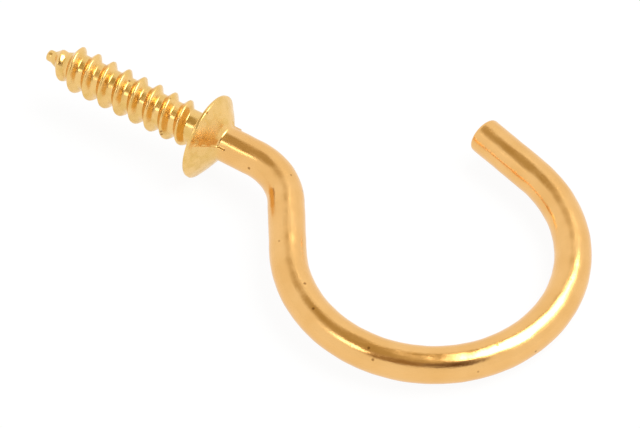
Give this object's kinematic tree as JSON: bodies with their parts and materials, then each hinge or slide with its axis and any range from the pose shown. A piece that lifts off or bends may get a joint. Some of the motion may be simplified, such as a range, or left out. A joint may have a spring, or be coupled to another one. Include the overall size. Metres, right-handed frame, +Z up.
{
  "type": "cup hook",
  "caption": "Round-wire open hook with a collar and a pointed wood-screw thread, for hanging a cup or a key from a shelf or wall.",
  "frame": {"origin": "centre of the collar's flat seat, on the screw's axis", "axes": "+Z up from the table that the hook lies on; +X level, in line with the screw, from the seat into the hook; the bow opens towards -X on the +Y side"},
  "size_m": [0.0462, 0.0248, 0.0068],
  "materials": {
    "brass_plate": "polished"
  },
  "bodies": {
    "root": {"cup_hook": "brass_plate"}
  },
  "joints": []
}
